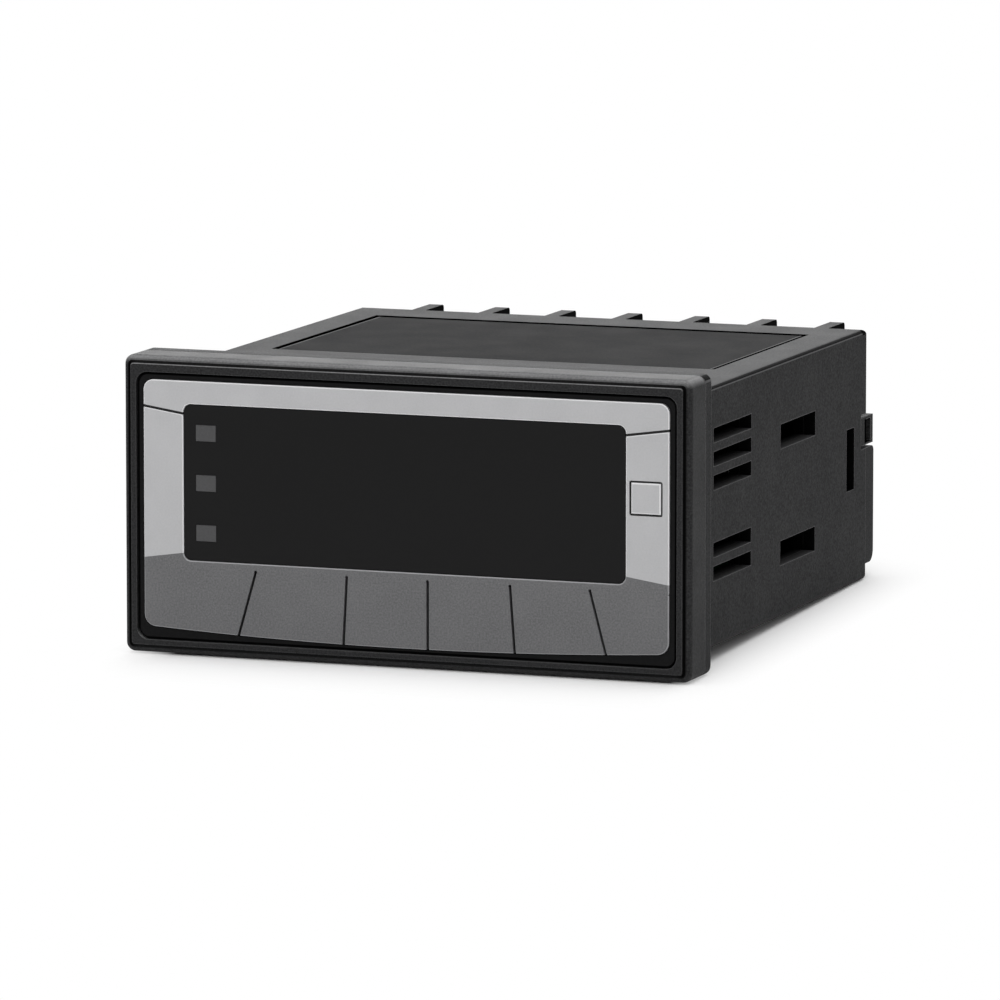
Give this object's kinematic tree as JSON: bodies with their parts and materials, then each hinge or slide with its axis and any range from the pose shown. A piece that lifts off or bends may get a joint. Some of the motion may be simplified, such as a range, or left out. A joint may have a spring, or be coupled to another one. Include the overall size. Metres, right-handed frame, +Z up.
{
  "type": "digital panel meter",
  "caption": "Panel-mounting electrical meter with a wide dark display window, a row of flap keys, a vented case and plug-in rear terminals.",
  "frame": {"origin": "centre of the panel cut-out, on the rear face of the flange that seats on the panel", "axes": "+Y runs back along the case, the front faces -Y, +Z is up, +X is to the right seen from the front"},
  "size_m": [0.096, 0.106, 0.048],
  "materials": {
    "bezel_plastic": "fine matt texture",
    "case_plastic": "fine matt texture",
    "panel_plastic": "satin",
    "silver_fascia": "satin, darker below the window",
    "key_grey": "satin",
    "smoked_window": "smoked, near black",
    "grey_lens": "translucent",
    "switch_plastic": "moulded",
    "board": "solder mask",
    "zinc": "bright",
    "digit_white": "moulded",
    "label_film": "smooth film",
    "laminations": "varnished",
    "winding": "enamelled copper under tape",
    "capacitor_sleeve": "shrunk sleeve",
    "terminal_plastic": "moulded",
    "header_plastic": "moulded",
    "brass": "plated"
  },
  "bodies": {
    "housing": {"bezel_frame": "bezel_plastic", "case": "case_plastic", "inner_panel": "panel_plastic", "fascia": "silver_fascia", "display_window": "smoked_window", "unit_badge": "silver_fascia", "annunciator_1": "grey_lens", "annunciator_2": "grey_lens", "annunciator_3": "grey_lens", "key_switch_1": "switch_plastic", "key_switch_2": "switch_plastic", "key_switch_3": "switch_plastic", "key_switch_4": "switch_plastic", "key_switch_5": "switch_plastic", "key_switch_6": "switch_plastic", "display_board": "board", "display_screws": "zinc", "digit_1": "digit_white", "digit_2": "digit_white", "digit_3": "digit_white", "digit_4": "digit_white", "digit_5": "digit_white", "status_led_1": "digit_white", "status_led_2": "digit_white", "status_led_3": "digit_white", "top_label": "label_film", "main_board": "board", "board_connector": "switch_plastic", "transformer_core": "laminations", "transformer_coil": "winding", "capacitor_1": "capacitor_sleeve", "capacitor_2": "capacitor_sleeve", "relay_1": "digit_white", "relay_2": "digit_white", "microcontroller": "switch_plastic", "rear_carrier": "case_plastic", "signal_header": "header_plastic", "power_header": "header_plastic", "signal_plug": "terminal_plastic", "power_plug": "terminal_plastic", "terminal_clamps": "brass", "terminal_screws": "zinc"},
    "flap_1": {"key_1": "key_grey", "switch_button_1": "switch_plastic"},
    "flap_2": {"key_2": "key_grey", "switch_button_2": "switch_plastic"},
    "flap_3": {"key_3": "key_grey", "switch_button_3": "switch_plastic"},
    "flap_4": {"key_4": "key_grey", "switch_button_4": "switch_plastic"},
    "flap_5": {"key_5": "key_grey", "switch_button_5": "switch_plastic"},
    "flap_6": {"key_6": "key_grey", "switch_button_6": "switch_plastic"}
  },
  "joints": [
    {"name": "key_1_press", "type": "hinge", "parent": "housing", "child": "flap_1", "pos_m": [0, -0.0094, -0.00985], "axis": [1, 0, 0], "range_deg": [0, 2.5], "stiffness_Nm_per_rad": 0.3},
    {"name": "key_2_press", "type": "hinge", "parent": "housing", "child": "flap_2", "pos_m": [0, -0.0094, -0.00985], "axis": [1, 0, 0], "range_deg": [0, 2.5], "stiffness_Nm_per_rad": 0.3},
    {"name": "key_3_press", "type": "hinge", "parent": "housing", "child": "flap_3", "pos_m": [0, -0.0094, -0.00985], "axis": [1, 0, 0], "range_deg": [0, 2.5], "stiffness_Nm_per_rad": 0.3},
    {"name": "key_4_press", "type": "hinge", "parent": "housing", "child": "flap_4", "pos_m": [0, -0.0094, -0.00985], "axis": [1, 0, 0], "range_deg": [0, 2.5], "stiffness_Nm_per_rad": 0.3},
    {"name": "key_5_press", "type": "hinge", "parent": "housing", "child": "flap_5", "pos_m": [0, -0.0094, -0.00985], "axis": [1, 0, 0], "range_deg": [0, 2.5], "stiffness_Nm_per_rad": 0.3},
    {"name": "key_6_press", "type": "hinge", "parent": "housing", "child": "flap_6", "pos_m": [0, -0.0094, -0.00985], "axis": [1, 0, 0], "range_deg": [0, 2.5], "stiffness_Nm_per_rad": 0.3}
  ]
}
